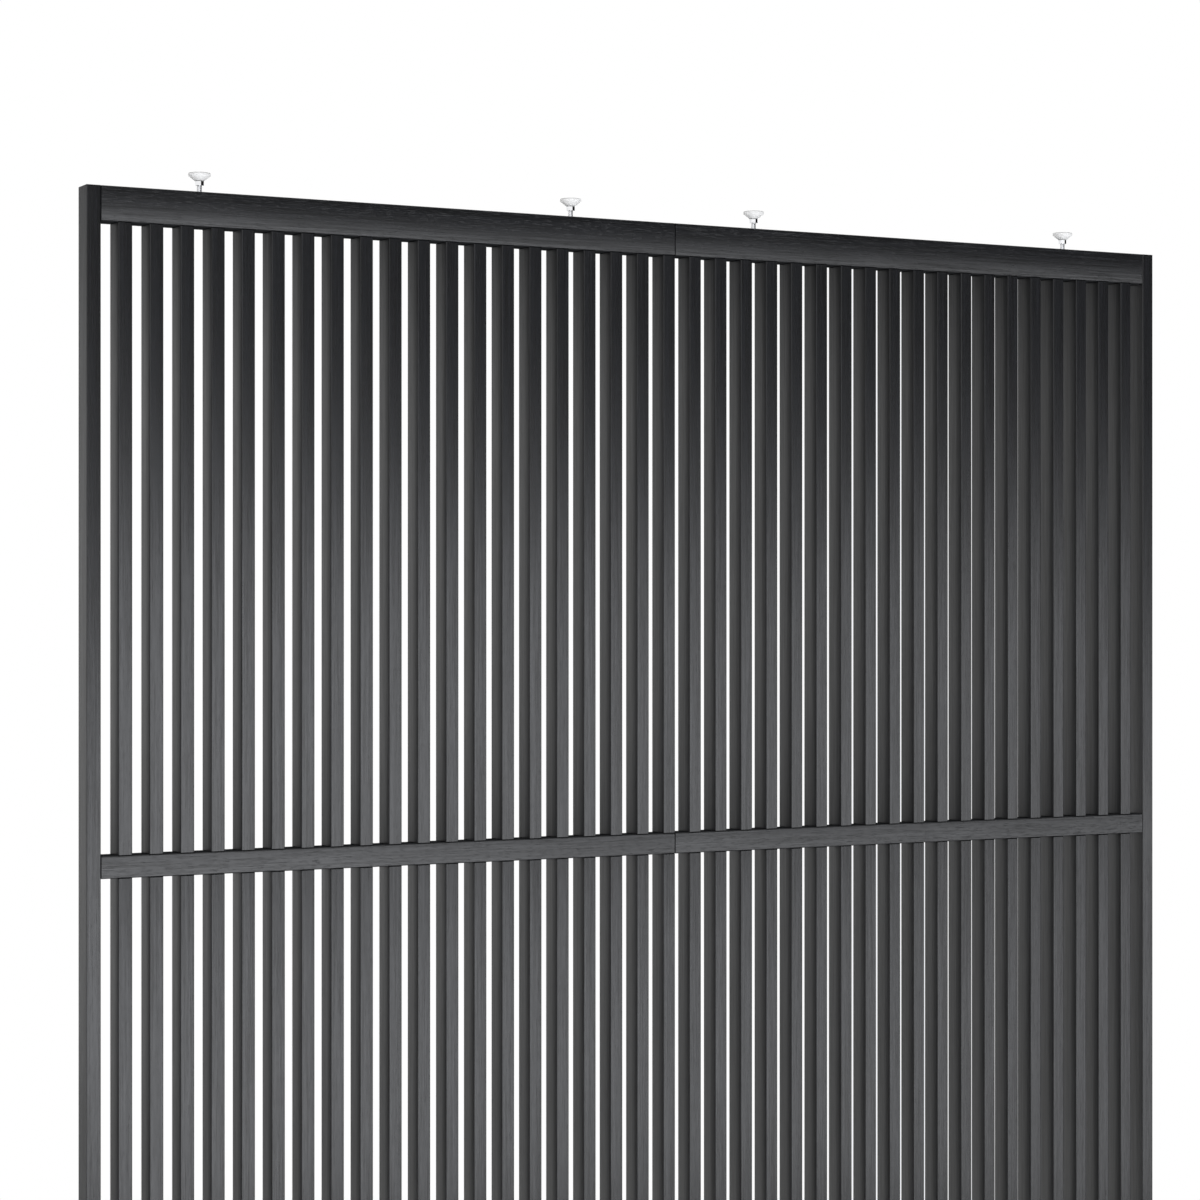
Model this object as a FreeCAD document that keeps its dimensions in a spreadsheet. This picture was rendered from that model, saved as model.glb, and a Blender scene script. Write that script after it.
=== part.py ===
import FreeCAD, Part
import os
import Sketcher
from FreeCAD import Rotation, Vector

# A slatted wooden room divider, braced between floor and ceiling. Two posts carry a top, a middle
# and a bottom rail, and each rail is made of a left and a right length that meet at a seam. Upright
# slats stand in two storeys between the rails, and four screw jacks on top press against the ceiling.
# X runs along the screen, -Y is its front, Z is up. The origin is on the floor, at the middle.

SIZES = [
    # Timber: slats, posts and rails are all planed to one depth, with eased edges.
    ("timber_depth", 48, "front to back, all timber"),
    ("eased_edge", 1.2, "flat taken off the long edges of the timber"),
    ("joint_bevel", 1, "bevel round the ends of the rails"),
    # Slats
    ("slat_pitch", 59.2, "from one slat to the next"),
    ("slat_width", 26.5, "across the front of a slat"),
    ("slat_length", 1147, "between two rails"),
    ("left_slats", 20, "slats left of the seam"),
    ("right_slats", 19, "slats right of the seam"),
    # Posts and rails
    ("post_width", 27, "across the front of a post"),
    ("top_rail_height", 64, "top rail"),
    ("middle_rail_height", 41, "middle rail"),
    ("bottom_rail_height", 64, "bottom rail"),
    # Loose tenons: flat blocks of beech, half in each piece, that lie level in the rails
    ("key_depth", 30, "front to back"),
    ("key_height", 10, "up and down"),
    ("key_length", 30, "half in each piece"),
    ("key_play", 0.1, "round a loose tenon"),
    ("key_end_play", 1, "past each end of it"),
    # Places of the four ceiling jacks
    ("outer_jack_inset", 223, "first and last jack, from the outer face of the nearer post"),
    ("inner_jack_offset", 207.75, "the two jacks between them, from the middle of the screen"),
    # Threaded sleeve
    ("sleeve_diameter", 14, "outside of the sleeve"),
    ("sleeve_length", 25, "sleeve in the top rail"),
    ("sleeve_play", 0.05, "round the sleeve"),
    # Jack screw
    ("stud_diameter", 10, "metric thread, drawn plain"),
    ("stud_length", 56, "below the hexagon"),
    ("stud_play", 0.05, "between stud and sleeve"),
    ("stud_shown", 14, "stud between rail and hexagon, as shown"),
    ("bore_end_play", 2, "below the stud at its lowest"),
    ("hexagon_flats", 14, "across the flats"),
    ("hexagon_height", 8, "for an open spanner"),
    ("swivel_diameter", 8, "pin that turns in the pad"),
    ("swivel_length", 9, "pin above the hexagon"),
    ("swivel_play", 0.06, "round the pin"),
    ("swivel_end_play", 0.3, "above the pin"),
    # Ceiling pad
    ("pad_diameter", 41, "face against the ceiling"),
    ("pad_rim_height", 5, "upright rim"),
    ("pad_cone_height", 10, "cone under the rim"),
    ("pad_neck_diameter", 14.5, "foot of the cone"),
]

doc = FreeCAD.newDocument("slatted_room_divider")
sheet = doc.addObject("Spreadsheet::Sheet", "sizes")
for row, (name, value, note) in enumerate(SIZES, start=1):
    sheet.set("A%d" % row, name)
    sheet.set("B%d" % row, str(value))
    sheet.set("C%d" % row, note)
    sheet.setAlias("B%d" % row, name)
doc.recompute()

# Sizes that follow from the ones in the sheet.
LEFT_RAIL = "(sizes.left_slats * sizes.slat_pitch)"
RIGHT_RAIL = "((sizes.right_slats + 1) * sizes.slat_pitch - sizes.slat_width)"
OVERALL_WIDTH = "(2 * sizes.post_width + %s + %s)" % (LEFT_RAIL, RIGHT_RAIL)
LEFT_FACE = "(-%s / 2)" % OVERALL_WIDTH
LEFT_RAIL_START = "(%s + sizes.post_width)" % LEFT_FACE
SEAM = "(%s + %s)" % (LEFT_RAIL_START, LEFT_RAIL)
RIGHT_RAIL_END = "(%s + %s)" % (SEAM, RIGHT_RAIL)
LOWER_SLATS = "sizes.bottom_rail_height"
MIDDLE_RAIL = "(%s + sizes.slat_length)" % LOWER_SLATS
UPPER_SLATS = "(%s + sizes.middle_rail_height)" % MIDDLE_RAIL
TOP_RAIL = "(%s + sizes.slat_length)" % UPPER_SLATS
FRAME_HEIGHT = "(%s + sizes.top_rail_height)" % TOP_RAIL
HEXAGON_FOOT = "(%s + sizes.stud_shown)" % FRAME_HEIGHT
PAD_FOOT = "(%s + sizes.hexagon_height)" % HEXAGON_FOOT
PAD_HEIGHT = "(sizes.pad_rim_height + sizes.pad_cone_height)"
JACKS = [
    "(%s + sizes.outer_jack_inset)" % LEFT_FACE,
    "(-sizes.inner_jack_offset)",
    "(sizes.inner_jack_offset)",
    "(-%s - sizes.outer_jack_inset)" % LEFT_FACE,
]

handed_in = []


def origin_feature(body, role):
    return [feature for feature in body.Origin.OriginFeatures if feature.Role == role][0]


def new_body(name, x="0", z="0"):
    body = doc.addObject("PartDesign::Body", name)
    body.Label = name
    body.setExpression("Placement.Base.x", x)
    body.setExpression("Placement.Base.z", z)
    return body


def new_sketch(body, name, plane, lift="0"):
    sketch = body.newObject("Sketcher::SketchObject", name)
    sketch.AttachmentSupport = [(origin_feature(body, plane), "")]
    sketch.MapMode = "FlatFace"
    sketch.setExpression("AttachmentOffset.Base.z", lift)
    return sketch


def size_constraint(sketch, name, expression, *place):
    index = sketch.addConstraint(Sketcher.Constraint(*place, 1.0))
    sketch.renameConstraint(index, name)
    sketch.setExpression("Constraints." + name, expression)


def draw_rectangle(sketch, left, bottom, width, height):
    """A rectangle whose lower left corner and sides follow expressions."""
    corners = [Vector(-1, -1), Vector(1, -1), Vector(1, 1), Vector(-1, 1)]
    for start, end in zip(corners, corners[1:] + corners[:1]):
        sketch.addGeometry(Part.LineSegment(start, end), False)
    for line in range(4):
        sketch.addConstraint(Sketcher.Constraint("Coincident", line, 2, (line + 1) % 4, 1))
    for line in (0, 2):
        sketch.addConstraint(Sketcher.Constraint("Horizontal", line))
    for line in (1, 3):
        sketch.addConstraint(Sketcher.Constraint("Vertical", line))
    size_constraint(sketch, "width", width, "DistanceX", 0, 1, 0, 2)
    size_constraint(sketch, "height", height, "DistanceY", 1, 1, 1, 2)
    size_constraint(sketch, "left", left, "DistanceX", -1, 1, 0, 1)
    if bottom == "0":
        sketch.addConstraint(Sketcher.Constraint("PointOnObject", 0, 1, -1))
    else:
        size_constraint(sketch, "bottom", bottom, "DistanceY", -1, 1, 0, 1)


def draw_centred_rectangle(sketch, width, height):
    draw_rectangle(sketch, "-%s / 2" % width, "-%s / 2" % height, width, height)


def draw_circle(sketch, name, x, y, diameter):
    index = sketch.addGeometry(Part.Circle(Vector(1, 1), Vector(0, 0, 1), 1), False)
    size_constraint(sketch, name + "_size", diameter, "Diameter", index)
    for axis, direction, place in (("_x", "DistanceX", x), ("_y", "DistanceY", y)):
        if place == "0":
            line = -2 if axis == "_x" else -1
            sketch.addConstraint(Sketcher.Constraint("PointOnObject", index, 3, line))
        else:
            size_constraint(sketch, name + axis, place, direction, -1, 1, index, 3)


def pad(body, sketch, name, length):
    feature = body.newObject("PartDesign::Pad", name)
    feature.Profile = sketch
    feature.setExpression("Length", length)
    doc.recompute()
    return feature


def pocket(body, sketch, name, length, forward=False):
    """Cuts against the sketch's normal, or along it where forward is set, and makes sure it cuts."""
    before = body.Shape.Volume
    feature = body.newObject("PartDesign::Pocket", name)
    feature.Profile = sketch
    feature.Reversed = forward
    feature.setExpression("Length", length)
    doc.recompute()
    if not body.Shape.Volume < before:
        raise RuntimeError(name + " cuts nothing")
    return feature


def edges_along(shape, direction):
    """Names of the straight edges that run in one direction."""
    names = []
    for number, edge in enumerate(shape.Edges, start=1):
        if isinstance(edge.Curve, Part.Line) and edge.Curve.Direction.cross(direction).Length < 1e-6:
            names.append("Edge%d" % number)
    return names


def edges_square_to(shape, direction):
    """Names of the edges that lie in the two end faces of a prism."""
    names = []
    for number, edge in enumerate(shape.Edges, start=1):
        box = edge.BoundBox
        span = Vector(box.XLength, box.YLength, box.ZLength)
        if abs(span.dot(direction)) < 1e-6:
            names.append("Edge%d" % number)
    return names


def bevel(body, feature, name, edges, size):
    cut = body.newObject("PartDesign::Chamfer", name)
    cut.Base = (feature, edges)
    cut.setExpression("Size", size)
    doc.recompute()
    return cut


def ease_long_edges(body, feature, name, direction):
    return bevel(body, feature, name, edges_along(feature.Shape, direction), "sizes.eased_edge")


def hand_in(shape_object, name):
    shape_object.Label = name
    handed_in.append(shape_object)


def set_of_copies(name, original, places):
    """Several equal pieces, each at a place given by expressions, as one sub-part."""
    copies = []
    for number, place in enumerate(places, start=1):
        copy = doc.addObject("App::Link", "%s_copy_%d" % (name, number))
        copy.LinkedObject = original
        copy.LinkTransform = False
        for axis, expression in zip("xyz", place):
            copy.setExpression("Placement.Base." + axis, expression)
        copies.append(copy)
    compound = doc.addObject("Part::Compound", name)
    compound.Links = copies
    hand_in(compound, name)
    return compound


# Mortises for the loose tenons: one where each end of each rail meets its neighbour, at the middle
# of the rail's height.
KEY_LEVELS = {
    "bottom": "sizes.bottom_rail_height / 2",
    "middle": "%s + sizes.middle_rail_height / 2" % MIDDLE_RAIL,
    "top": "%s + sizes.top_rail_height / 2" % TOP_RAIL,
}
KEY_MORTISE_DEPTH = "sizes.key_depth + 2 * sizes.key_play"
KEY_MORTISE_HEIGHT = "sizes.key_height + 2 * sizes.key_play"
KEY_MORTISE_LENGTH = "sizes.key_length / 2 + sizes.key_end_play"


def key_mortise(body, name, plane_place, middle, forward):
    place = new_sketch(body, name + "_place", "YZ_Plane", plane_place)
    draw_rectangle(
        place,
        "-(%s) / 2" % KEY_MORTISE_DEPTH,
        "%s - (%s) / 2" % (middle, KEY_MORTISE_HEIGHT),
        KEY_MORTISE_DEPTH,
        KEY_MORTISE_HEIGHT,
    )
    pocket(body, place, name, KEY_MORTISE_LENGTH, forward)


# Posts: one length of timber each, from the floor to the top of the frame. The inner face has its
# mortises where each rail meets it, and the outer face stays whole.


def post(name, x, inner_face, forward):
    body = new_body(name, x)
    section = new_sketch(body, name + "_section", "XY_Plane")
    draw_rectangle(
        section, "0", "-sizes.timber_depth / 2", "sizes.post_width", "sizes.timber_depth"
    )
    timber = pad(body, section, name + "_timber", FRAME_HEIGHT)
    ease_long_edges(body, timber, name + "_edges", Vector(0, 0, 1))
    for level, middle in KEY_LEVELS.items():
        key_mortise(body, "%s_%s_mortise" % (name, level), inner_face, middle, forward)
    hand_in(body, name)


post("left_post", LEFT_FACE, "sizes.post_width", False)
post("right_post", RIGHT_RAIL_END, "0", True)


# Rails: the left length carries one slat more than the right length and ends flush with its last
# slat, so the seam runs down that slat's side. Both ends have a fine bevel, which shows as a V-joint.


def rail(name, x, z, length, height):
    body = new_body(name, x, z)
    section = new_sketch(body, name + "_section", "YZ_Plane")
    draw_rectangle(section, "-sizes.timber_depth / 2", "0", "sizes.timber_depth", height)
    timber = pad(body, section, name + "_timber", length)
    eased = ease_long_edges(body, timber, name + "_edges", Vector(1, 0, 0))
    bevel(body, eased, name + "_ends", edges_square_to(eased.Shape, Vector(1, 0, 0)), "sizes.joint_bevel")

    for end, place, forward in (("left", "0", True), ("right", length, False)):
        key_mortise(body, "%s_%s_mortise" % (name, end), place, height + " / 2", forward)
    hand_in(body, name)
    return body


SIDES = (
    ("left", LEFT_RAIL_START, LEFT_RAIL),
    ("right", SEAM, RIGHT_RAIL),
)
LEVELS = (
    ("bottom", "0", "sizes.bottom_rail_height"),
    ("middle", MIDDLE_RAIL, "sizes.middle_rail_height"),
    ("top", TOP_RAIL, "sizes.top_rail_height"),
)
rails = {}
for level, z, height in LEVELS:
    for side, x, length in SIDES:
        name = "%s_rail_%s" % (level, side)
        rails[name] = rail(name, x, z, length, height)

# Bores for the jacks, down into the top rails: wide enough for the threaded sleeve, and deep enough
# for the stud to screw down until its hexagon meets the rail.
for side, x, length in SIDES:
    name = "top_rail_" + side
    bores = new_sketch(rails[name], name + "_bore_places", "XY_Plane", "sizes.top_rail_height")
    for number, jack in enumerate(JACKS[:2] if side == "left" else JACKS[2:]):
        place = "%s - %s" % (jack, x)
        draw_circle(
            bores, "bore_%d" % number, place, "0", "sizes.sleeve_diameter + 2 * sizes.sleeve_play"
        )
    pocket(rails[name], bores, name + "_bores", "sizes.stud_length + sizes.bore_end_play")


# Slats: every slat is the same piece, in both storeys, and stands on its square ends between two
# rails. One sub-part holds the lower and the upper slat that stand in line.
slat = new_body("slat")
section = new_sketch(slat, "slat_section", "XY_Plane")
draw_centred_rectangle(section, "sizes.slat_width", "sizes.timber_depth")
timber = pad(slat, section, "slat_timber", "sizes.slat_length")
ease_long_edges(slat, timber, "slat_edges", Vector(0, 0, 1))

for number in range(1, int(sheet.left_slats) + int(sheet.right_slats) + 1):
    x = "%s + %d * sizes.slat_pitch - sizes.slat_width / 2" % (LEFT_RAIL_START, number)
    set_of_copies(
        "slats_%02d" % number, slat, [(x, "0", LOWER_SLATS), (x, "0", UPPER_SLATS)]
    )


# Loose tenons: one in every joint between a rail and a post, and one in every seam of two rails.
key = new_body("loose_tenon")
section = new_sketch(key, "loose_tenon_section", "YZ_Plane", "-sizes.key_length / 2")
draw_centred_rectangle(section, "sizes.key_depth", "sizes.key_height")
pad(key, section, "loose_tenon_block", "sizes.key_length")
set_of_copies(
    "post_tenons",
    key,
    [(x, "0", z) for x in (LEFT_RAIL_START, RIGHT_RAIL_END) for z in KEY_LEVELS.values()],
)
set_of_copies("seam_tenons", key, [(SEAM, "0", z) for z in KEY_LEVELS.values()])


# Half profiles of turned pieces, drawn in the XZ plane and turned round the Z axis.
def draw_half_profile(sketch, points):
    """points are pairs of expressions, (out from the axis, up), in order round the profile."""
    count = len(points)
    rough = [Vector(1 + (index % 2), index + 1) for index in range(count)]
    for index in range(count):
        sketch.addGeometry(Part.LineSegment(rough[index], rough[(index + 1) % count]), False)
    for index in range(count):
        sketch.addConstraint(Sketcher.Constraint("Coincident", index, 2, (index + 1) % count, 1))
    for index, (out, up) in enumerate(points):
        if out == "0":
            sketch.addConstraint(Sketcher.Constraint("PointOnObject", index, 1, -2))
        else:
            size_constraint(sketch, "out_%d" % index, out, "DistanceX", -1, 1, index, 1)
        if up == "0":
            sketch.addConstraint(Sketcher.Constraint("PointOnObject", index, 1, -1))
        else:
            size_constraint(sketch, "up_%d" % index, up, "DistanceY", -1, 1, index, 1)


def turn(body, name, points):
    profile = new_sketch(body, name + "_profile", "XZ_Plane")
    draw_half_profile(profile, points)
    feature = body.newObject("PartDesign::Revolution", name)
    feature.Profile = profile
    feature.ReferenceAxis = (origin_feature(body, "Z_Axis"), [""])
    feature.Angle = 360
    doc.recompute()
    return feature


# Threaded sleeves: a plain tube in each bore, flush with the top of the rail.
sleeve = new_body("sleeve")
bore_radius = "sizes.stud_diameter / 2 + sizes.stud_play"
turn(
    sleeve,
    "sleeve_tube",
    [
        (bore_radius, "-sizes.sleeve_length"),
        ("sizes.sleeve_diameter / 2", "-sizes.sleeve_length"),
        ("sizes.sleeve_diameter / 2", "0"),
        (bore_radius, "0"),
    ],
)
set_of_copies("threaded_sleeves", sleeve, [(jack, "0", FRAME_HEIGHT) for jack in JACKS])


# Jack screws: a stud below, a hexagon to turn it by, and a plain pin above that swivels in the pad.
# A body's own zero height is the foot of its hexagon.
def jack_screw(name, x):
    body = new_body(name, x, HEXAGON_FOOT)
    stud_radius = "sizes.stud_diameter / 2"
    pin_radius = "sizes.swivel_diameter / 2"
    pin_top = "sizes.hexagon_height + sizes.swivel_length"
    turn(
        body,
        name + "_shaft",
        [
            ("0", "-sizes.stud_length"),
            (stud_radius, "-sizes.stud_length"),
            (stud_radius, "sizes.hexagon_height / 2"),
            (pin_radius, "sizes.hexagon_height / 2"),
            (pin_radius, pin_top),
            ("0", pin_top),
        ],
    )

    outline = new_sketch(body, name + "_hexagon_outline", "XY_Plane")
    corner = "sizes.hexagon_flats / sqrt(3)"
    circle = outline.addGeometry(Part.Circle(Vector(0, 0), Vector(0, 0, 1), 1), True)
    outline.addConstraint(Sketcher.Constraint("Coincident", circle, 3, -1, 1))
    size_constraint(outline, "corner", corner, "Radius", circle)
    turns = [Rotation(Vector(0, 0, 1), 60 * side).multVec(Vector(0, 1)) for side in range(6)]
    sides = [
        outline.addGeometry(Part.LineSegment(turns[side], turns[(side + 1) % 6]), False)
        for side in range(6)
    ]
    for side in range(6):
        following = sides[(side + 1) % 6]
        outline.addConstraint(Sketcher.Constraint("Coincident", sides[side], 2, following, 1))
        outline.addConstraint(Sketcher.Constraint("PointOnObject", sides[side], 1, circle))
        if side:
            outline.addConstraint(Sketcher.Constraint("Equal", sides[0], sides[side]))
    outline.addConstraint(Sketcher.Constraint("PointOnObject", sides[0], 1, -2))
    pad(body, outline, name + "_hexagon", "sizes.hexagon_height")
    hand_in(body, name)


# Ceiling pads: a rim and a cone turned in one, flat on top, with a blind socket for the swivel pin.
def ceiling_pad(name, x):
    body = new_body(name, x, PAD_FOOT)
    rim_radius = "sizes.pad_diameter / 2"
    socket_radius = "sizes.swivel_diameter / 2 + sizes.swivel_play"
    socket_top = "sizes.swivel_length + sizes.swivel_end_play"
    turn(
        body,
        name + "_dish",
        [
            (socket_radius, "0"),
            ("sizes.pad_neck_diameter / 2", "0"),
            (rim_radius, "sizes.pad_cone_height"),
            (rim_radius, PAD_HEIGHT),
            ("0", PAD_HEIGHT),
            ("0", socket_top),
            (socket_radius, socket_top),
        ],
    )
    hand_in(body, name)


for number, jack in enumerate(JACKS, start=1):
    jack_screw("jack_screw_%d" % number, jack)
    ceiling_pad("ceiling_pad_%d" % number, jack)

doc.recompute()
for item in doc.Objects:
    if "Invalid" in item.State or "Error" in item.State:
        raise RuntimeError("%s did not build: %s" % (item.Name, item.State))
for item in handed_in:
    if item.Shape.isNull() or not item.Shape.isValid():
        raise RuntimeError("%s has no sound shape" % item.Label)

os.makedirs("parts", exist_ok=True)
for item in handed_in:
    item.Shape.exportStep("parts/%s.step" % item.Label)
print("%d sub-parts" % len(handed_in), "%d solids" % sum(len(item.Shape.Solids) for item in handed_in))
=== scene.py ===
import math

import bmesh
import bpy
from mathutils import Matrix, Vector


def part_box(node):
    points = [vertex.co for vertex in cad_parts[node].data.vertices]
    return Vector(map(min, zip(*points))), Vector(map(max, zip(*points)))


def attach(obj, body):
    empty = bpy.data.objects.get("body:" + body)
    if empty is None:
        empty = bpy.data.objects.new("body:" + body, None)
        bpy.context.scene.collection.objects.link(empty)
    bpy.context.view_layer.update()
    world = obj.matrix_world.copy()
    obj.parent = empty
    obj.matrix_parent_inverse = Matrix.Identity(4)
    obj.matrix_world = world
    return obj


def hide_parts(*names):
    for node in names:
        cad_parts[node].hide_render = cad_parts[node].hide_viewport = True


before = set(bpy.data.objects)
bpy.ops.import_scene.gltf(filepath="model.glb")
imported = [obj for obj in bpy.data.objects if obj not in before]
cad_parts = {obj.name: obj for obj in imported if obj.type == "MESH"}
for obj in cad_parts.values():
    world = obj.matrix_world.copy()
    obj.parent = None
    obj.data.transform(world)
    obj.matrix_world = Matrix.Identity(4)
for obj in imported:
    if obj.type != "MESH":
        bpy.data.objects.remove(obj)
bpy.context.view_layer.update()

# Posts: two planed boards, 27 by 48 mm and as tall as the frame, stained black and sealed with a
# satin lacquer. Their long edges are eased, and the rails butt against their inner faces.


class Wire:
    """An output of a finish, so that shader maths is written as plain expressions."""

    def __init__(self, finish, socket):
        self.finish = finish
        self.socket = socket

    def maths(self, operation, *others):
        """A Math node that takes this value first."""
        values = dict(enumerate((self, *others)))
        return self.finish.node("ShaderNodeMath", {"operation": operation}, values)

    def __add__(self, other):
        return self.maths("ADD", other)

    def __sub__(self, other):
        return self.maths("SUBTRACT", other)

    def __rsub__(self, other):
        """The other less this value, as this value times -1 plus the other."""
        return self.maths("MULTIPLY_ADD", -1, other)

    def __mul__(self, other):
        return self.maths("MULTIPLY", other)

    def __truediv__(self, other):
        return self.maths("DIVIDE", other)

    def __mod__(self, other):
        return self.maths("FLOORED_MODULO", other)

    def __pow__(self, other):
        return self.maths("POWER", other)

    def __gt__(self, other):
        return self.maths("GREATER_THAN", other)

    __radd__ = __add__
    __rmul__ = __mul__


class Finish:
    """A material for one of the pieces, and the one method that adds a node to it."""

    def __init__(self, name, **settings):
        self.material = bpy.data.materials.new(name)
        self.material.use_nodes = True
        self.tree = self.material.node_tree
        self.shader = self.tree.nodes["Principled BSDF"]
        self.coat(**settings)
        self.place = self.node("ShaderNodeTexCoord", {}, {}, "Object")
        self.x, self.y, self.z = (
            self.node("ShaderNodeSeparateXYZ", {}, {0: self.place}, axis) for axis in "XYZ"
        )

    def node(self, kind, settings, values, output=0):
        """Adds a node, makes its settings first, and then fills its inputs."""
        node = self.tree.nodes.new(kind)
        for name, value in settings.items():
            if name == "stops":
                for stop, (position, grey) in zip(node.color_ramp.elements, value):
                    stop.position = position
                    stop.color = (grey, grey, grey, 1)
            else:
                setattr(node, name, value)
        for name, value in values.items():
            self.fill(node.inputs[name], value)
        return Wire(self, node.outputs[output])

    def fill(self, socket, value):
        """Gives an input what varies over the surface, or one value for all of it."""
        if isinstance(value, Wire):
            self.tree.links.new(value.socket, socket)
        else:
            socket.default_value = value

    def coat(self, **values):
        """Fills the inputs of the shader."""
        for name, value in values.items():
            self.fill(self.shader.inputs[name.replace("_", " ")], value)

    def cover(self, share, other):
        """Lets another shader show through where share is 1."""
        mixed = self.node(
            "ShaderNodeMixShader", {}, {0: share, 1: Wire(self, self.shader.outputs[0]), 2: other}
        )
        self.tree.links.new(mixed.socket, self.tree.nodes["Material Output"].inputs["Surface"])

    def blend(self, share, low, high):
        """Goes from one colour to the other as share goes from 0 to 1. Either may vary already."""
        low, high = (
            colour if isinstance(colour, Wire) else (*colour, 1) for colour in (low, high)
        )
        return self.node("ShaderNodeMix", {"data_type": "RGBA"}, {0: share, 6: low, 7: high}, 2)

    def bump(self, height, strength, distance):
        """Turns a height over the surface into a direction for the shader."""
        return self.node(
            "ShaderNodeBump", {}, {"Strength": strength, "Distance": distance, "Height": height}
        )

    def noise(self, scales, shift=(0, 0, 0), detail=2, roughness=0.5, distortion=0.0):
        """Noise with its own scale along each axis, in waves a metre."""
        where = self.node("ShaderNodeVectorMath", {"operation": "ADD"}, {0: self.place, 1: shift})
        where = self.node("ShaderNodeVectorMath", {"operation": "MULTIPLY"}, {0: where, 1: scales})
        return self.node(
            "ShaderNodeTexNoise",
            {},
            {
                "Vector": where,
                "Scale": 1,
                "Detail": detail,
                "Roughness": roughness,
                "Distortion": distortion,
            },
        )


STAIN_DARK = (0.0017, 0.0018, 0.0022)
STAIN_LIGHT = (0.0122, 0.0128, 0.0148)
# Painted shade: the stain of the matt tops and undersides of the rails.
STAIN_OF_SHADED_FACES = (0.029, 0.030, 0.032)
SEALED_ROUGHNESS = 0.22
MATT_ROUGHNESS = 0.6
DULL_ON_THE_FRONT = 0.535
DULL_IN_THE_GAPS = 0.125
FACE_CROWN = 0.045
STREAK_HEIGHT = 0.00003
PORE_DEPTH = 0.00004


def stain_timber(
    finish,
    grain,
    middle,
    half,
    board,
    brushed,
    streaked,
    flattest,
    upright_crown,
    matt_faces=None,
    painted_shade=None,
):
    """Makes a finish black-stained timber with its grain along one axis. middle and half are the
    middle and half the size of the board, and board is a number that tells one from another.
    brushed is how deep the fibres stand out, and streaked is how unevenly they took the lacquer.
    Each face turns away towards its edges, by FACE_CROWN across it and by upright_crown at half
    its height from flattest, the height where it is flattest. Cut ends and the last millimetre of
    the eased edges beside them are painted in the darkest stain and left matt, as painted shade in
    the joints. The pair of faces square to matt_faces are left matt in a stain of their own, as
    painted shade. The last argument is painted shade on the sides: how much of their shine they
    lose where the next piece stands close, or higher up."""

    def stretched(across, along):
        return tuple(along if axis == grain else across for axis in "XYZ")

    # Each board is cut from a place of its own in a block of timber of 3 m a side.
    shift = finish.node(
        "ShaderNodeTexWhiteNoise", {"noise_dimensions": "1D"}, {"W": board}, "Color"
    )
    shift = finish.node("ShaderNodeVectorMath", {"operation": "MULTIPLY"}, {0: shift, 1: (3, 3, 3)})
    figure = finish.noise(stretched(across=42, along=1.3), shift, distortion=0.6)
    streaks = finish.noise(stretched(across=390, along=5), shift, roughness=0.55, distortion=0.1)
    fibres = finish.noise(stretched(across=800, along=20), shift, roughness=0.6)
    pores = finish.noise(stretched(across=1500, along=45), shift, detail=1) > 0.64

    tone = 0.16 * figure + 0.54 * streaks + 0.30 * fibres
    tone = finish.node("ShaderNodeValToRGB", {"stops": ((0.40, 0), (0.60, 1))}, {0: tone})

    relief = STREAK_HEIGHT * streaks + brushed * fibres - PORE_DEPTH * pores
    for place, flat_at, reach, slope in zip(
        (finish.x, finish.y, finish.z),
        (middle[0], middle[1], flattest),
        half,
        (FACE_CROWN, FACE_CROWN, upright_crown),
    ):
        relief = relief - slope / 2 / reach * (place - flat_at) ** 2
    normal = finish.bump(relief, strength=1, distance=1)

    def near_faces(axis, within):
        index = "XYZ".index(axis)
        from_middle = ((finish.x, finish.y, finish.z)[index] - middle[index]).maths("ABSOLUTE")
        return from_middle > half[index] - within

    # Painted shade: the cut ends and the last millimetre beside them are painted in the darkest
    # stain and left matt, so the joints and grooves look shaded.
    shaded_end = near_faces(grain, within=0.0010)
    matt_shade = shaded_end
    if matt_faces:
        matt_shade = shaded_end.maths("MAXIMUM", near_faces(matt_faces, within=0.0004))
    in_the_gaps = near_faces("X", within=0.0006)

    colour = finish.blend(tone * (1 - shaded_end), STAIN_DARK, STAIN_LIGHT)
    colour = finish.blend(matt_shade * (1 - shaded_end), colour, STAIN_OF_SHADED_FACES)
    finish.coat(
        Base_Color=colour,
        Roughness=SEALED_ROUGHNESS + 0.06 * (1 - tone) + 0.21 * in_the_gaps,
        Specular_IOR_Level=1.0,
        Normal=normal,
    )

    # The lacquer is thin, and this is the share of the surface where it doesn't shine, with the
    # painted shade on the sides added to it.
    dull_and_shaded = DULL_ON_THE_FRONT - streaked / 2 + streaked * (1 - tone) + streaked * pores
    dull_and_shaded = dull_and_shaded - (DULL_ON_THE_FRONT - DULL_IN_THE_GAPS) * in_the_gaps
    if painted_shade:
        dull_and_shaded = dull_and_shaded + (1 - dull_and_shaded) * in_the_gaps * painted_shade
    matt_shader = finish.node(
        "ShaderNodeBsdfPrincipled",
        {},
        {
            "Base Color": colour,
            "Roughness": MATT_ROUGHNESS,
            "Specular IOR Level": 0,
            "Normal": normal,
        },
    )
    finish.cover(dull_and_shaded.maths("MAXIMUM", matt_shade), matt_shader)


def board_box(node):
    """The middle of a board, and half its size."""
    low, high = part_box(node)
    return (low + high) / 2, (high - low) / 2


def dress(node, finish):
    """Gives a CAD piece its finish."""
    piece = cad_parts[node]
    piece.data.materials.clear()
    piece.data.materials.append(finish.material)
    return piece


def round_edges(piece):
    """Rounds off the flats that stand for a board's eased edges."""
    weld = piece.modifiers.new("join", "WELD")
    weld.merge_threshold = 0.00001
    ease = piece.modifiers.new("ease", "BEVEL")
    ease.limit_method = "ANGLE"
    ease.angle_limit = math.radians(30)
    ease.width = 0.00042
    ease.segments = 2


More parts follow.
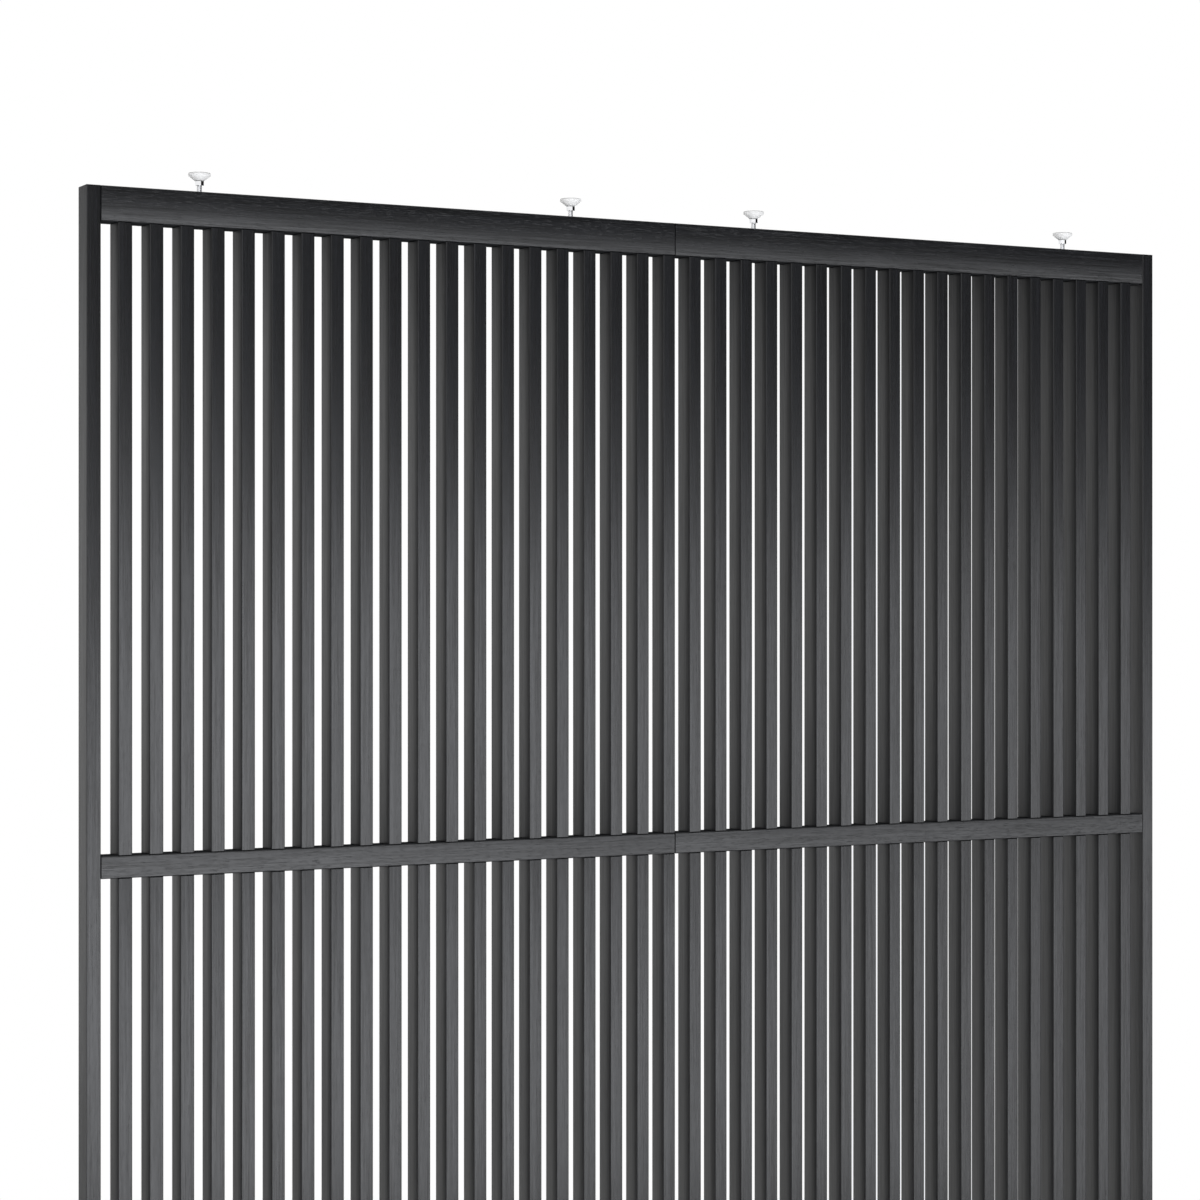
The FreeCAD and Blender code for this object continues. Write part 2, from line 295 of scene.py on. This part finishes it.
# Painted shade: the sides of the posts lose a third of their shine for each metre above this
# height.
SHINY_UP_TO = 1.8

for number, node in enumerate(("left_post", "right_post")):
    middle, half = board_box(node)
    finish = Finish(node + "_stain")
    stain_timber(
        finish,
        "Z",
        middle,
        half,
        board=3.1 + number,
        brushed=0.00014,
        streaked=0.05,
        flattest=0.3,
        upright_crown=0.026,
        painted_shade=0.35 * (finish.z - SHINY_UP_TO).maths("MAXIMUM", 0),
    )
    round_edges(dress(node, finish))

# Rails: three pairs of boards, of the same timber and depth as the posts. Each pair meets at a
# seam beside the twentieth slat, with a fine V-groove where their eased ends touch. Their tops and
# undersides are matt, with no shine, in a stain of their own, as painted shade.
RAIL_CROWN_A_METRE = 2.4

for number, (level, streaked, flat_above_middle) in enumerate(
    (("bottom", 0.07, 0), ("middle", 0.07, -0.005), ("top", 0.16, 0.008))
):
    for side in ("left", "right"):
        node = "%s_rail_%s" % (level, side)
        middle, half = board_box(node)
        finish = Finish(node + "_stain")
        stain_timber(
            finish,
            "X",
            middle,
            half,
            board=11.3 + 2 * number + (side == "right"),
            brushed=0.000012,
            streaked=streaked,
            flattest=middle.z + flat_above_middle,
            upright_crown=RAIL_CROWN_A_METRE * half.z,
            matt_faces="Z",
        )
        round_edges(dress(node, finish))

# Slats: 78 like boards in two storeys, planed to 26.5 by 48 mm and cut square, each with a grain
# of its own. They stand between the rails at an even pitch. As painted shade, their sides shine
# less towards the front, and an upper slat's also towards the rails.
SLAT_COUNT = 39
LOSS_AT_THE_FRONT = 0.62
LOSS_AT_THE_RAILS = 0.35
LOSS_BEGINS = 0.1

first_low, first_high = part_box("slats_01")
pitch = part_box("slats_02")[0].x - first_low.x
half_width = (first_high.x - first_low.x) / 2
half_gap = pitch / 2 - half_width
rail_low, rail_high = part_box("middle_rail_left")
lower_middle = (first_low.z + rail_low.z) / 2
upper_middle = (rail_high.z + first_high.z) / 2
lower_flattest = 0.38

slat_stain = Finish("slat_stain")
upper = slat_stain.z > (rail_low.z + rail_high.z) / 2
from_first_bay = slat_stain.x - (first_low.x - half_gap)
forward = (slat_stain.y / first_low.y - LOSS_BEGINS).maths("MAXIMUM", 0)
endward = ((slat_stain.z - upper_middle) / (first_high.z - upper_middle)) ** 2 * upper
stain_timber(
    slat_stain,
    "Z",
    (
        slat_stain.x - from_first_bay % pitch + pitch / 2,
        0,
        lower_middle + (upper_middle - lower_middle) * upper,
    ),
    (half_width, first_high.y, (rail_low.z - first_low.z) / 2),
    board=(from_first_bay / pitch).maths("FLOOR") + 50.37 * upper,
    brushed=0.00014,
    streaked=0.05,
    flattest=lower_flattest + (upper_middle - lower_flattest) * upper,
    upright_crown=FACE_CROWN,
    painted_shade=1 - (1 - LOSS_AT_THE_FRONT * forward) * (1 - LOSS_AT_THE_RAILS * endward * endward),
)
for number in range(1, SLAT_COUNT + 1):
    round_edges(dress("slats_%02d" % number, slat_stain))

# Loose tenons: flat blocks of beech, glued half into each board where a rail meets a post or
# another rail. They are out of sight once the frame is together.
beech = Finish("bare_beech", Specular_IOR_Level=0.3)
flecks = beech.noise((60, 900, 900))
pith = beech.noise((6, 90, 90), detail=3, distortion=0.5)
beech.coat(
    Base_Color=beech.blend(0.6 * pith + 0.4 * flecks, (0.42, 0.25, 0.13), (0.72, 0.52, 0.34)),
    Roughness=0.55 + 0.2 * flecks,
    Normal=beech.bump(flecks, strength=0.4, distance=0.0001),
)
for node in ("post_tenons", "seam_tenons"):
    dress(node, beech)

# Threaded sleeves: turned steel tubes with a zinc coat, pressed into the bores of the top rail,
# flush with its top. The jack screws run in them.
zinc = Finish("bright_zinc", Metallic=1.0)
bloom = zinc.noise((240, 240, 240), detail=3, roughness=0.6)
turning = zinc.noise((30, 30, 3800), detail=1)
zinc.coat(
    Base_Color=zinc.blend(bloom, (0.78, 0.79, 0.81), (0.94, 0.94, 0.95)),
    Roughness=0.12 + 0.12 * bloom,
    Normal=zinc.bump(turning, strength=0.25, distance=0.00005),
)
dress("threaded_sleeves", zinc)

# Jack screws: a length of M10 thread with a hexagon turned on it and a plain pin above, zinc
# plated. An open spanner on the hexagon drives the pad up against the ceiling.
JACK_COUNT = 4
THREAD_PITCH = 0.0015
THREAD_RADIUS = 0.005
THREAD_DEPTH = 0.00081
STEPS_A_TURN = 32
HEXAGON_FLATS = 0.014
HEXAGON_HEIGHT = 0.008
HEXAGON_CHAMFER = math.radians(30)
TURNED_SHARE = 0.97
PIN_RADIUS = 0.004
# The hexagon is this much shorter than its solid, so it clears the rail at the low limit.
ROOM_OVER_THE_RAIL = 0.0001
# The thread and the pin run this far into the hexagon.
OVERLAP = 0.001


def threaded_stud(mesh, foot, head):
    """A helical thread from foot to head, closed at both ends."""
    root = THREAD_RADIUS - THREAD_DEPTH
    # Each point of the profile is so far out from the axis, and so much of a turn's rise up.
    profile = ((root, 0), (root, 0.25), (THREAD_RADIUS, 0.5625), (THREAD_RADIUS, 0.6875), (root, 1))
    start = foot - 1.5 * THREAD_PITCH
    turns = math.ceil((head - start) / THREAD_PITCH) + 1
    points = [mesh.verts.new((out, 0, start + up * THREAD_PITCH)) for out, up in profile]
    edges = [mesh.edges.new(pair) for pair in zip(points, points[1:])]
    bmesh.ops.spin(
        mesh,
        geom=points + edges,
        cent=(0, 0, 0),
        axis=(0, 0, 1),
        dvec=(0, 0, THREAD_PITCH / STEPS_A_TURN),
        angle=turns * math.tau,
        steps=turns * STEPS_A_TURN,
    )
    bmesh.ops.remove_doubles(mesh, verts=mesh.verts, dist=0.00001)
    for level, away in ((foot, -1), (head, 1)):
        cut = bmesh.ops.bisect_plane(
            mesh,
            geom=mesh.verts[:] + mesh.edges[:] + mesh.faces[:],
            plane_co=(0, 0, level),
            plane_no=(0, 0, away),
            clear_outer=True,
        )
        rim = [item for item in cut["geom_cut"] if isinstance(item, bmesh.types.BMEdge)]
        bmesh.ops.contextual_create(mesh, geom=rim)


def hexagon(mesh, low, high):
    """A hexagon with both ends turned down to 30 degrees, which gives each flat its curved edge."""
    corner = HEXAGON_FLATS / math.sqrt(3)
    turned = HEXAGON_FLATS / 2 * TURNED_SHARE
    bmesh.ops.create_circle(mesh, cap_ends=True, segments=6, radius=corner)
    bmesh.ops.subdivide_edges(mesh, edges=mesh.edges, cuts=7)
    bmesh.ops.translate(mesh, verts=mesh.verts, vec=(0, 0, low))
    raised = bmesh.ops.extrude_face_region(mesh, geom=mesh.faces[:])["geom"]
    top = next(item for item in raised if isinstance(item, bmesh.types.BMFace))
    bmesh.ops.translate(mesh, verts=top.verts, vec=(0, 0, high - low))
    bottom = min(mesh.faces, key=lambda face: face.calc_center_median().z)
    for face, inwards in ((top, -1), (bottom, 1)):
        rim = list(face.verts)
        bmesh.ops.inset_region(mesh, faces=[face], thickness=0.0002)
        for vert in rim:
            out = Vector((vert.co.x, vert.co.y)).length
            vert.co.z += inwards * (out - turned) * math.tan(HEXAGON_CHAMFER)
        for vert in face.verts:
            out = Vector((vert.co.x, vert.co.y)).length
            vert.co.x *= turned / out
            vert.co.y *= turned / out


def finish_piece(mesh, name, body, node, finish):
    """Turns a bmesh into a piece that rides on a body and stands for a CAD node."""
    bmesh.ops.recalc_face_normals(mesh, faces=mesh.faces)
    data = bpy.data.meshes.new(name)
    mesh.to_mesh(data)
    mesh.free()
    for face in data.polygons:
        face.use_smooth = True
    data.set_sharp_from_angle(angle=math.radians(35))
    data.materials.append(finish.material)
    piece = bpy.data.objects.new(name, data)
    bpy.context.collection.objects.link(piece)
    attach(piece, body)
    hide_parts(node)


screw_low, screw_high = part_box("jack_screw_1")
pad_low, pad_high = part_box("ceiling_pad_1")
hexagon_low = pad_low.z - (HEXAGON_HEIGHT - ROOM_OVER_THE_RAIL)
pin_low = pad_low.z - OVERLAP
stud = bmesh.new()
threaded_stud(stud, screw_low.z, hexagon_low + OVERLAP)
pin = bmesh.ops.create_cone(
    stud,
    cap_ends=True,
    segments=48,
    radius1=PIN_RADIUS,
    radius2=PIN_RADIUS,
    depth=screw_high.z - pin_low,
)
bmesh.ops.translate(stud, verts=pin["verts"], vec=(0, 0, (screw_high.z + pin_low) / 2))
whole = bpy.data.meshes.new("screw")
stud.to_mesh(whole)
stud.free()
screw = bmesh.new()
hexagon(screw, hexagon_low, pad_low.z)
screw.from_mesh(whole)
screw.to_mesh(whole)
screw.free()
for number in range(1, JACK_COUNT + 1):
    node = "jack_screw_%d" % number
    low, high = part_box(node)
    screw = bmesh.new()
    screw.from_mesh(whole)
    bmesh.ops.translate(screw, verts=screw.verts, vec=((low.x + high.x) / 2, 0, 0))
    finish_piece(
        screw, "threaded_" + node, "screw_%d" % number, node, zinc
    )

# Ceiling pads: dishes moulded in white plastic, 41 mm across, with a blind socket in which the pin
# of the jack screw turns. The flat top presses on the ceiling. As painted shade, the rim is a
# little greyer than the cone, and darkest along its upper edge and round the foot.
SOCKET_RADIUS = 0.00406
SOCKET_DEPTH = 0.0093
FOOT_RADIUS = 0.00725
CONE_HEIGHT = 0.010
RIM_SHADE_GREY = (0.72, 0.72, 0.72)
OUTLINE_SHADE_GREY = (0.32, 0.32, 0.32)

plastic = Finish(
    "white_plastic",
    IOR=1.46,
    Specular_IOR_Level=0.08,
    Subsurface_Weight=1,
    Subsurface_Radius=(1, 1, 1),
    Subsurface_Scale=0.012,
)
mottle = plastic.noise((420, 420, 420), roughness=0.6)
cloud = plastic.noise((60, 60, 60))
shaded_upper_edge = plastic.z > pad_high.z - 0.0012
above_the_foot = plastic.z > pad_low.z + 0.0009
milky_and_shaded = plastic.blend(0.5 * mottle + 0.5 * cloud, (0.89, 0.89, 0.89), (0.97, 0.97, 0.96))
# Painted shade: the rim greyer, and its upper edge and foot darker still.
milky_and_shaded = plastic.blend(plastic.z > pad_low.z + CONE_HEIGHT, milky_and_shaded, RIM_SHADE_GREY)
milky_and_shaded = plastic.blend(shaded_upper_edge.maths("MAXIMUM", 1 - above_the_foot), milky_and_shaded, OUTLINE_SHADE_GREY)
plastic.coat(
    Base_Color=milky_and_shaded,
    Roughness=0.45 + 0.12 * mottle,
    Normal=plastic.bump(mottle, strength=0.3, distance=0.0002),
)
for number in range(1, JACK_COUNT + 1):
    node = "ceiling_pad_%d" % number
    low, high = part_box(node)
    centre = (low.x + high.x) / 2
    rim = (high.x - low.x) / 2
    profile = (
        (0, SOCKET_DEPTH),
        (SOCKET_RADIUS, SOCKET_DEPTH),
        (SOCKET_RADIUS, 0),
        (FOOT_RADIUS, 0),
        (rim, CONE_HEIGHT),
        (rim, high.z - low.z),
        (0, high.z - low.z),
    )
    dish = bmesh.new()
    points = [dish.verts.new((centre + out, 0, low.z + up)) for out, up in profile]
    for pair in zip(points, points[1:]):
        dish.edges.new(pair)
    bmesh.ops.bevel(
        dish,
        geom=points[3:6],
        affect="VERTICES",
        offset=0.0007,
        segments=4,
        profile=0.5,
        material=-1,
    )
    bmesh.ops.spin(
        dish,
        geom=dish.verts[:] + dish.edges[:],
        cent=(centre, 0, 0),
        axis=(0, 0, 1),
        angle=math.tau,
        steps=96,
        use_merge=True,
    )
    bmesh.ops.remove_doubles(dish, verts=dish.verts, dist=0.000001)
    finish_piece(dish, "moulded_" + node, "pad_%d" % number, node, plastic)

# Studio: a pale round floor fades to white in a white surround. Far in front stand two long low
# lights under a black card, so the fronts shine low down and stay dark above eye level. The other
# cards end that light on the right, darken the right of the jacks, and shade the gaps by the rails.
CARD_DISTANCE = 20
LOWEST_BEARING = 24
DEEPEST_SAG = 0.8
LIGHT_DISTANCE = 19.5
LIGHT_LEVEL = -1.75
LIGHT_HEIGHT = 8.5


def stage_piece(name, mesh, finish, seen):
    """A piece of the studio, which isn't part of the screen."""
    data = bpy.data.meshes.new(name)
    mesh.to_mesh(data)
    mesh.free()
    data.materials.append(finish.material)
    piece = bpy.data.objects.new(name, data)
    piece.visible_camera = seen
    bpy.context.collection.objects.link(piece)


ground = Finish("pale_floor", Specular_IOR_Level=0.2)
ground.coat(
    Base_Color=ground.blend(
        ground.noise((3, 3, 3), detail=3), (0.88, 0.88, 0.87), (0.92, 0.92, 0.91)
    ),
    Roughness=0.7,
)
white = ground.node("ShaderNodeEmission", {}, {"Color": (1, 1, 1, 1), "Strength": 1})
from_middle = (ground.x * ground.x + ground.y * ground.y) ** 0.5
fade = ground.node(
    "ShaderNodeMapRange",
    {"interpolation_type": "SMOOTHSTEP"},
    {"Value": from_middle, "From Min": 1.5, "From Max": 2.5},
)
ground.cover(fade, white)
disc = bmesh.new()
bmesh.ops.create_circle(disc, cap_ends=True, segments=96, radius=2.6)
stage_piece("floor", disc, ground, seen=True)

black = Finish("black_card", Specular_IOR_Level=0.0)
black.coat(
    Base_Color=black.blend(black.noise((3, 3, 3)), (0.01, 0.01, 0.01), (0.02, 0.02, 0.02)),
    Roughness=0.9,
)
# Bearings are in degrees, from straight in front round by the right. The front card's foot sags.
for name, first, last, low, high, sag in (
    ("front_card", 3, 100, 2.28, 18, 0.0043),
    ("right_card", 58, 112, -12, 16, 0),
    ("rear_top_card", 180, 250, 6.3, 16, 0),
    ("rear_low_card", 180, 250, -14, -2.5, 0),
):
    card = bmesh.new()
    stile = [card.verts.new((0, -CARD_DISTANCE, level)) for level in (low, high)]
    edge = card.edges.new(stile)
    turned = Matrix.Rotation(math.radians(first), 3, "Z")
    bmesh.ops.rotate(card, verts=stile, cent=(0, 0, 0), matrix=turned)
    bmesh.ops.spin(
        card,
        geom=stile + [edge],
        cent=(0, 0, 0),
        axis=(0, 0, 1),
        angle=math.radians(last - first),
        steps=24,
    )
    for vert in card.verts:
        if vert.co.z < low + 0.01:
            bearing = math.degrees(math.atan2(vert.co.x, -vert.co.y))
            vert.co.z += min(sag * (bearing - LOWEST_BEARING) ** 2, DEEPEST_SAG)
    stage_piece(name, card, black, seen=False)


def soft_light(name, across, width, radiance):
    """A long low light that faces the screen, unseen by the camera."""
    lamp = bpy.data.lights.new(name, "AREA")
    lamp.color = (0.98, 1, 1.045)
    lamp.shape = "RECTANGLE"
    lamp.size = width
    lamp.size_y = LIGHT_HEIGHT
    lamp.energy = math.pi * width * LIGHT_HEIGHT * radiance
    holder = bpy.data.objects.new(name, lamp)
    holder.location = (across, -LIGHT_DISTANCE, LIGHT_LEVEL)
    holder.rotation_euler = (math.radians(90), 0, 0)
    holder.visible_camera = False
    bpy.context.collection.objects.link(holder)


soft_light("front_light", across=-0.3, width=19.4, radiance=2.95)
soft_light("right_light", across=16.7, width=14.6, radiance=1.75)

world = bpy.data.worlds.new("white_surround")
world.use_nodes = True
bpy.context.scene.world = world
background = world.node_tree.nodes["Background"]
background.inputs["Color"].default_value = (1, 1, 1, 1)
background.inputs["Strength"].default_value = 1.0

# Camera: level, at eye height, and 27.6 degrees off the screen's normal, as the photograph was
# taken.
camera_data = bpy.data.cameras.new("camera")
camera_data.lens = 90
camera_data.sensor_width = 36
camera = bpy.data.objects.new("camera", camera_data)
camera.location = (-2.8801, -5.2349, 1.7146)
camera.rotation_euler = (math.radians(90), 0, math.radians(-27.605))
bpy.context.collection.objects.link(camera)
bpy.context.scene.camera = camera
bpy.context.scene.view_settings.view_transform = "Standard"
